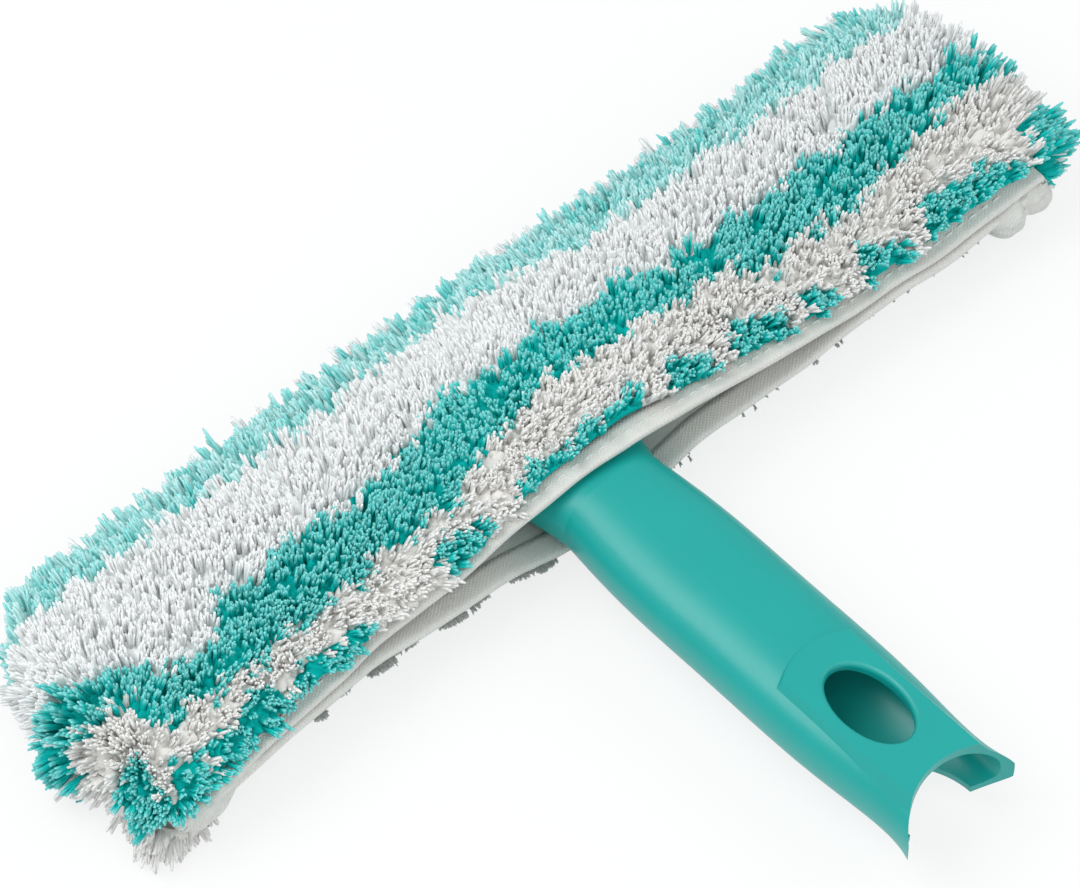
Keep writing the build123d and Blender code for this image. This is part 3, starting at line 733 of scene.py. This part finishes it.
def pile_places(section, rng):
    """Where the tufts stand: lengths along the section, places along the crossbar, turns and ends."""
    pitch = sizes().tuft_pitch / MM
    rows = np.arange(pitch / 2, section.whole, pitch)
    s, x = crossed(rows, np.arange(*PILE_ENDS, pitch))
    turn, side = np.zeros_like(x), np.zeros_like(x)
    for which, end in zip((-1, 1), PILE_ENDS):
        es, et = crossed(rows, np.linspace(*END_TURNS))
        keep = rng.random(len(es)) < np.cos(et) ** END_THINNING + END_LEAST
        kept = np.ones(keep.sum())
        s, turn = np.concatenate([s, es[keep]]), np.concatenate([turn, et[keep]])
        x, side = np.concatenate([x, end * kept]), np.concatenate([side, which * kept])
    s = np.clip(s + rng.uniform(-OFF_PLACE, OFF_PLACE, len(s)) * pitch, 0, section.whole)
    x = x + np.where(side == 0, rng.uniform(-OFF_PLACE, OFF_PLACE, len(s)) * pitch, 0)
    turn = np.clip(turn + np.where(side == 0, 0, rng.uniform(-OFF_TURN, OFF_TURN, len(s))), 0, np.pi / 2)
    return s, x, turn, side


def stripe_names(y, z, x, up, rng, stray):
    """The stripe that each place belongs to."""
    wander = waves(x, EDGE_WAVES) + rng.normal(0, stray, len(x))
    below = np.where(x < LOWER_END, LOWER_END_EDGE, LOWER_TEAL_EDGE)
    edges = [np.where(up > 0, eased(x, *NEAR_TEAL), below) + 0.5 * wander,
             eased(x, *MAIN_TEAL) + 1.1 * wander,
             eased(x, *MAIN_WHITE) - 0.9 * wander,
             eased(x, *FAR_TEAL) + 0.9 * wander]
    words = ["near_teal", "near_white", "main_teal", "main_white", "far_teal"]
    index = np.sum([y > edge for edge in edges], 0)
    fold = (y - FOLD_EDGE_Y) - FOLD_SLOPE * np.abs(z - MID_Z) + rng.normal(0, stray, len(x)) > 0
    names = np.array([("upper_" if u > 0 else "lower_") + words[i] + "_pile" for u, i in zip(up, index)])
    names[fold] = "fold_white_pile"
    return names


def make_undercoat(section, rng):
    """The dense undercoat as a grid of outer and inner points, its quads and the stripe of each quad."""
    rows = np.linspace(0, section.whole, COAT_ROWS)
    turns = np.linspace(0, np.pi / 2, COAT_TURNS)
    middle = np.linspace(*PILE_ENDS, COAT_COLUMNS)[1:-1]
    flat, end = np.zeros(len(middle)), np.ones(COAT_TURNS)
    x = np.concatenate([PILE_ENDS[0] * end, middle, PILE_ENDS[1] * end])
    turn = np.concatenate([turns[::-1], flat, turns])
    side = np.concatenate([-end, flat, end])
    s, column = crossed(rows, np.arange(len(x)))
    root, tip, ty, tz, up = section.root_and_tip(s, x[column], turn[column], side[column])
    share = COAT_SHARE + FAR_FULLER * fade(ty, *FAR_FROM)
    share = share + HILL_SHARE * lumps(tip, *HILLS) + LUMP_SHARE * lumps(tip, *LUMPS)
    share = share + rng.normal(0, COAT_ROUGH, len(share))
    outer = root + (tip - root) * share[:, None]
    inner = root + (tip - root) * COAT_BASE
    for points in (outer, inner):
        points[:, 2] = np.maximum(points[:, 2], COAT_FLOOR)
    quads = grid_faces(len(rows), len(x), flip=True)
    centre = [values[quads].mean(1) for values in (ty, tz, tip[:, 0])]
    return outer, inner, quads, stripe_names(*centre, up[quads[:, 0]], rng, COAT_STRAY)


def closed_layer(outer, inner, quads):
    """The points and faces of one closed layer between an outer and an inner surface."""
    used, local = np.unique(quads, return_inverse=True)
    local = local.reshape(quads.shape)
    count = len(used)
    points = np.concatenate([outer[used], inner[used]])
    edges = np.concatenate([local[:, [k, (k + 1) % 4]] for k in range(4)])
    key, back = edges[:, 0] * count + edges[:, 1], edges[:, 1] * count + edges[:, 0]
    rim = edges[~np.isin(key, back)]
    walls = np.stack([rim[:, 1], rim[:, 0], rim[:, 0] + count, rim[:, 1] + count], 1)
    return points, np.concatenate([local, local[:, ::-1] + count, walls])


def lean_into_clumps(root, tip, rng):
    """Tufts lean on their neighbours, so the surface parts into soft clumps."""
    pitch = sizes().clump_pitch / MM
    count = max(8, int(len(tip) * (sizes().tuft_pitch / MM / pitch) ** 2))
    chosen = rng.choice(len(tip), count, replace=False)
    tree = KDTree(count)
    for i, point in enumerate(tip[chosen]):
        tree.insert(Vector(point), i)
    tree.balance()
    nearest = np.array([tree.find(Vector(point))[1] for point in tip])
    pull = rng.uniform(*LEAN_SHARES, count)[nearest][:, None]
    direction = tip - root
    length = np.linalg.norm(direction, axis=1)
    direction /= length[:, None]
    # By the hem the pile is short, and its tufts stand out past the undercoat by more of their length
    short = np.clip(1 - length / SHORT_TUFT, 0, 1)
    grow = HILL_HEIGHT * lumps(tip, *HILLS) + rng.normal(0, TUFT_UNEVEN, len(tip))
    grow = grow - SURFACE_DROP * (1 - short) + SHORT_PROUD * short
    open_side = np.maximum(fade(tip[:, 1], *FAR_OPEN), fade(np.abs(tip[:, 0] - MID_X), *END_OPEN))
    standing = rng.random(len(tip)) < STANDING_SHARE
    grow += open_side * np.where(standing, rng.uniform(*STANDING, len(tip)), 0.0)
    tip = tip + (tip[chosen][nearest] - tip) * pull
    # Each clump falls in its own way, and each tuft a little apart
    combed = np.array(COMBED_NEAR) * fade(tip[:, 1:2], *COMBED_ACROSS) + np.array(COMBED)
    swirl = np.stack([lumps(tip, SWIRL_PITCH, seed) for seed in (31.0, 57.0, 83.0)], 1)
    fall = COMB * combed + SWIRL * swirl + rng.normal(0, 1.0, (count, 3))[nearest] * CLUMP_SWING
    fall = fall + rng.normal(0, TUFT_SWING, tip.shape)
    fall -= direction * (fall * direction).sum(1)[:, None]
    return tip + fall + direction * grow[:, None], rng.random(count)[nearest]


def strand_arrays(root, tip, clump, rng, painted_backlight=0.0, loose=1.0):
    """Points, faces and yarn map of tufts that open into tapered strands.

    Its backlight factor paints them paler, as painted backlight, and loose says how wide they open and how
    thick they are.
    """
    strands, tufts = sizes().strands, len(root)
    radius, spread = loose * sizes().strand_radius / MM, sizes().tuft_spread / MM
    root, tip = np.repeat(root, strands, 0), np.repeat(tip, strands, 0)
    count = len(root)
    shade = np.repeat(rng.uniform(0, TUFT_SHADE, tufts) + clump * CLUMP_SHADE, strands)
    shade = shade + rng.uniform(0, STRAND_SHADE, count) + painted_backlight * PAINTED_BACKLIGHT_SHADE
    along = tip - root
    length = np.linalg.norm(along, axis=1)[:, None]
    along = along / length
    helper = np.where(np.abs(along[:, :1]) < 0.7, np.array([[1.0, 0, 0]]), np.array([[0, 1.0, 0]]))
    across = np.cross(along, helper)
    across /= np.linalg.norm(across, axis=1)[:, None]
    other = np.cross(along, across)

    def disc(reach):
        angle = rng.uniform(0, 2 * np.pi, count)
        far = loose * reach * np.sqrt(rng.random(count))
        return across * (far * np.cos(angle))[:, None] + other * (far * np.sin(angle))[:, None]

    start = root + (tip - root) * STRAND_START + disc(LOOSE_START)
    open_out = disc(spread)
    end = tip + open_out + along * loose * rng.normal(0, UNEVEN_END, count)[:, None] + disc(LOOSE_END)
    bend = root + along * length * STRAND_BEND + open_out * BEND_OPEN + disc(LOOSE_BEND)
    turn = rng.uniform(0, 2 * np.pi, count)
    points = np.zeros((count, len(STRAND_PLACES), STRAND_SIDES, 3))
    for k, (t, thick) in enumerate(zip(STRAND_PLACES, STRAND_TAPER)):
        line = start * (1 - t) ** 2 + bend * 2 * t * (1 - t) + end * t ** 2
        for j in range(STRAND_SIDES):
            angle = turn + j * 2 * np.pi / STRAND_SIDES
            ring = across * np.cos(angle)[:, None] + other * np.sin(angle)[:, None]
            points[:, k, j] = line + ring * (thick * radius)
    points[..., 2] = np.maximum(points[..., 2], STRAND_FLOOR)
    offsets = np.arange(count) * len(STRAND_PLACES) * STRAND_SIDES
    faces = [repeated(one, offsets) for one in tube_faces(len(STRAND_PLACES), STRAND_SIDES)]
    yarn = np.zeros((count, len(STRAND_PLACES), STRAND_SIDES, 2))
    yarn[..., 0] = np.clip(shade, 0, MOST_SHADE)[:, None, None] + np.arange(STRAND_SIDES) * SIDE_SHADE
    # The strands are the upper half of the way from root to tip, kept a little inside the map
    yarn[..., 1] = (0.5 + 0.5 * STRAND_PLACES)[None, :, None] * 0.98 + 0.01
    return points.reshape(-1, 3), faces, yarn.reshape(-1, 2)


def fringe_places(rng):
    """Roots and tips of the ragged fibres that stick out under the lower lip."""
    x = np.concatenate([rng.uniform(*FRAYED_LEFT), rng.uniform(*FRAYED_RIGHT)])
    x = x[waves(x, TATTERS) + rng.normal(0, 0.5, len(x)) > 0.3]
    y = np.full(len(x), MOUTH + 1.0)
    z = MID_Z - (CLOTH_OUTER + lift(x, y, -1) - lip_sink(x, y)) + waves(x, HEM_WAVES)
    root = settle(np.stack([x, y, z + 0.4], 1), -1)
    reach = rng.uniform(0.8, 2.6, len(x)) * (0.65 + 0.35 * np.sin(x / 4.3 + 1))
    return root, root + np.stack([rng.normal(0, 0.5, len(x)), -reach, -0.5 * reach - 0.4], 1)


# Steps

class SCRUBBER_OT_handle(bpy.types.Operator):
    """Finishes the moulded handle and the metal and plastic pieces inside the cover"""
    bl_idname = "scrubber.handle"
    bl_label = "Handle and crossbar"

    def execute(self, context):
        teal = colours().handle
        cap = moulded_polypropylene("moulded_polyethylene_cap", linear("3a3d40"), 0.5)
        finishes = {
            "handle_grip": moulded_polypropylene("moulded_polypropylene", teal, 0.34),
            "clamp_plate": moulded_polypropylene("moulded_polypropylene_plate", scaled(teal, 0.8)[:3], 0.5),
            "crossbar": rolled_aluminium(),
            "clamp_screws": turned_stainless_steel(),
            "left_end_cap": cap,
            "right_end_cap": cap,
        }
        for name, material in finishes.items():
            mesh = cad_nodes[name].data
            mesh.materials.clear()
            mesh.materials.append(material)
        return {"FINISHED"}


class SCRUBBER_OT_cloth(bpy.types.Operator):
    """Makes the folded ground cloth with its tapes, stitches, end tucks and closure tapes"""
    bl_idname = "scrubber.cloth"
    bl_label = "Cloth and hems"

    def execute(self, context):
        # Threads of 0.5 mm in the ground cloth are drawn 0.8 mm apart so that the weave shows
        ground = woven_cloth("plain_woven_polyester", colours().cloth, 0.8 * MM, 0.15 * MM, 0.0)
        twill = woven_cloth("twill_woven_tape", colours().tape, 0.9 * MM, 0.2 * MM, math.radians(50))
        thread = woven_cloth("twisted_sewing_thread", linear("eceeea"), 0.5 * MM, 0.05 * MM, math.radians(45))
        closure = woven_cloth("woven_nylon_closure", linear("dcdedb"), 0.6 * MM, 0.1 * MM, 0.0)
        cloth = make_base_cloth(ground)
        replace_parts(cloth, "upper_base_cloth", "lower_base_cloth", "fold_base_cloth",
                    "left_end_cloth", "right_end_cloth")
        sewn = {}
        for side, word in ((1, "upper"), (-1, "lower")):
            sewn[word + "_hem_tape"] = make_hem_tape(side, word + "_hem_twill", twill)
            sewn[word + "_hem_stitching"] = make_stitches(side, word + "_hem_thread", thread)
        for side, word in ((-1, "left"), (1, "right")):
            sewn[word + "_end_tuck"] = make_end_tuck(side, word + "_folded_end", ground)
            for kind, above in (("_hook", True), ("_loop", False)):
                node = word + kind + "_tape"
                sewn[node] = make_closure_tape(node, word + kind + "_strip", above, closure)
        for node, piece in sewn.items():
            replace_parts(piece, node)
        # Flat, the cloth is as wide as the pocket and as long as its two sides and the fold
        return {"FINISHED"}


class SCRUBBER_OT_pile(bpy.types.Operator):
    """Grows the striped yarn pile over the whole cover"""
    bl_idname = "scrubber.pile"
    bl_label = "Pile"

    def execute(self, context):
        rng = np.random.default_rng(20)
        c = colours()
        teal = brushed_yarn("brushed_teal_microfibre", c.teal_root, c.teal_body, c.teal_tip, 0.84)
        white = brushed_yarn("brushed_white_microfibre", c.white_root, c.white_body, c.white_tip, 0.93)
        # The rows by the hem are painted a little darker and warmer than the other white, as painted shade on
        # the near slope
        tones = (linear(code) for code in ("e9e7e2", "f4f2ee", "f9f8f5"))
        shaded_near_white = brushed_yarn("brushed_white_microfibre_painted_shade", *tones, 0.9)
        # The fibres under the lower lip are painted grey, as painted shade under the lip
        tones = (linear(code) for code in ("9a9e9a", "a9ada9", "bdc0bc"))
        frayed_painted_shade = brushed_yarn("frayed_backing_painted_shade", *tones, 0.8)
        section = Section()
        outer, inner, layer_quads, layer_names = make_undercoat(section, rng)
        root, tip, y, z, up = section.root_and_tip(*pile_places(section, rng))
        names = stripe_names(y, z, tip[:, 0], up, rng, STRAY)
        tip, clump = lean_into_clumps(root, tip, rng)
        # A strand has two triangles for each side of each length, and its two ends
        strand_faces = 2 * STRAND_SIDES * (len(STRAND_PLACES) - 1) + 2 * (STRAND_SIDES - 2)
        most = MOST_TRIANGLES // (strand_faces * sizes().strands)
        for name in sorted(set(names) | set(layer_names)):
            kind, slot = (teal, "teal_pile") if "teal" in name else (white, "white_pile")
            kind = shaded_near_white if "near_white" in name else kind
            # The far teal rows are painted paler, as painted backlight
            painted_backlight = FAR_PAINTED_BACKLIGHT if "far_teal" in name else 0.0
            label = name.replace("_pile", "_")
            points, faces = closed_layer(outer, inner, layer_quads[layer_names == name])
            mottled = rng.uniform(-COAT_MOTTLE, COAT_MOTTLE, len(points))
            shade = 0.2 + 0.12 * lumps(points, 4.0, 21.0) + mottled + painted_backlight * PAINTED_BACKLIGHT_SHADE
            # The outer points come first, and the hidden inner ones are painted darker, as painted shade deep
            # in the pile
            is_outer = np.arange(len(points)) < len(points) // 2
            depth = np.where(is_outer, COAT_TONE + 1.2 * mottled, 0.2)
            yarn = np.stack([np.clip(shade, 0, MOST_SHADE), depth], 1)
            grown = [(label + "undercoat", kind, points, [faces], yarn)]
            if name == "lower_near_white_pile":
                start, end = fringe_places(rng)
                fibres = strand_arrays(start, end, np.zeros(len(start)), rng, loose=0.4)
                grown.append(("lower_lip_fibres", frayed_painted_shade, *fibres))
            members = np.flatnonzero(names == name)
            members = members[np.argsort(tip[members, 0], kind="stable")]
            for index, group in enumerate(np.array_split(members, math.ceil(len(members) / most))):
                tufts = strand_arrays(root[group], tip[group], clump[group], rng, painted_backlight)
                grown.append((label + "yarn_" + "abcdefgh"[index], kind, *tufts))
            for piece_name, material, points, faces, yarn in grown:
                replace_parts(mesh_piece(piece_name, points, faces, material, yarn_map=yarn), name)
        return {"FINISHED"}


def shown(tree, other):
    """1 for rays from the camera and for one other kind of ray, and 0 for the rest."""
    path = add(tree, "LightPath")
    return add(tree, "Math", {0: path.outputs["Is Camera Ray"], 1: path.outputs[other]}, operation="MAXIMUM")


class SCRUBBER_OT_stage(bpy.types.Operator):
    """Sets up the pale floor, the soft studio light and the camera"""
    bl_idname = "scrubber.stage"
    bl_label = "Stage"

    def execute(self, context):
        scene = context.scene
        scene.view_settings.view_transform = "Standard"
        world = bpy.data.worlds.new("studio")
        scene.world = world
        world.use_nodes = True
        tree = world.node_tree
        tree.nodes.clear()
        soft = add(tree, "Background", {"Color": (0.93, 0.97, 1.0, 1.0), "Strength": WORLD_STRENGTH})
        plain = add(tree, "Background", {"Color": (1.0, 1.0, 1.0, 1.0), "Strength": 1.0})
        both = add(tree, "MixShader", {0: shown(tree, "Is Transmission Ray"), 1: soft, 2: plain})
        add(tree, "OutputWorld", {"Surface": both})

        paper, tree = new_material("white_paper_floor")
        share = add(tree, "Math", {0: shown(tree, "Is Glossy Ray"), 1: FLOOR_GLOW}, operation="MULTIPLY")
        matte = add(tree, "BsdfDiffuse", {"Color": (0.86, 0.86, 0.86, 1.0)})
        glow = add(tree, "Emission", {"Color": (1.0, 1.0, 1.0, 1.0), "Strength": 1.0})
        both = add(tree, "MixShader", {0: share, 1: matte, 2: glow})
        add(tree, "OutputMaterial", {"Surface": both})
        mesh = bpy.data.meshes.new("studio_floor")
        corners = [(x * FLOOR_REACH, y * FLOOR_REACH, 0) for x, y in ((-1, -1), (1, -1), (1, 1), (-1, 1))]
        mesh.from_pydata(corners, [], [(0, 1, 2, 3)])
        mesh.materials.append(paper)
        staged = [placed("studio_floor", mesh)]
        for name, place, size, power in LAMPS:
            light = bpy.data.lights.new(name, "AREA")
            light.size = size
            light.energy = power
            lamp = placed(name, light)
            lamp.location = place
            lamp.rotation_euler = (Vector(LIT_PLACE) - Vector(place)).to_track_quat("-Z", "Y").to_euler()
            staged.append(lamp)

        azimuth, elevation = (math.radians(angle) for angle in VIEW_ANGLES)
        level = math.cos(elevation)
        forward = Vector((-math.sin(azimuth) * level, math.cos(azimuth) * level, -math.sin(elevation)))
        right = forward.cross(Vector((0, 0, 1))).normalized()
        up = right.cross(forward)
        away, across, down = VIEW_OFFSETS
        place = Vector(VIEW_PIVOT) - forward * away + right * across - up * down
        data = bpy.data.cameras.new("photo_camera")
        data.lens, data.sensor_width = VIEW_LENS, VIEW_SENSOR
        camera = placed("photo_camera", data)
        turn = Matrix((right, up, -forward)).transposed().to_4x4()
        camera.matrix_world = Matrix.Translation(place) @ turn
        scene.camera = camera
        return {"FINISHED"}


class SCRUBBER_PT_panel(bpy.types.Panel):
    """Lists the steps and the values they read"""
    bl_idname = "SCRUBBER_PT_panel"
    bl_label = "Window scrubber"
    bl_space_type = "VIEW_3D"
    bl_region_type = "UI"
    bl_category = "Scrubber"

    def draw(self, context):
        for step in STEPS:
            self.layout.operator(step.bl_idname)
        for group in (context.scene.scrubber_sizes, context.scene.scrubber_colours):
            for name in group.__annotations__:
                self.layout.prop(group, name)


STEPS = (SCRUBBER_OT_handle, SCRUBBER_OT_cloth, SCRUBBER_OT_pile, SCRUBBER_OT_stage)
CLASSES = (ScrubberSizes, ScrubberColours, *STEPS, SCRUBBER_PT_panel)


def register():
    for cls in CLASSES:
        bpy.utils.register_class(cls)
    bpy.types.Scene.scrubber_sizes = PointerProperty(type=ScrubberSizes)
    bpy.types.Scene.scrubber_colours = PointerProperty(type=ScrubberColours)


def unregister():
    del bpy.types.Scene.scrubber_colours
    del bpy.types.Scene.scrubber_sizes
    for cls in reversed(CLASSES):
        bpy.utils.unregister_class(cls)


def main():
    register()
    bpy.ops.scrubber.handle()
    bpy.ops.scrubber.cloth()
    bpy.ops.scrubber.pile()
    bpy.ops.scrubber.stage()


if __name__ == "__main__":
    main()
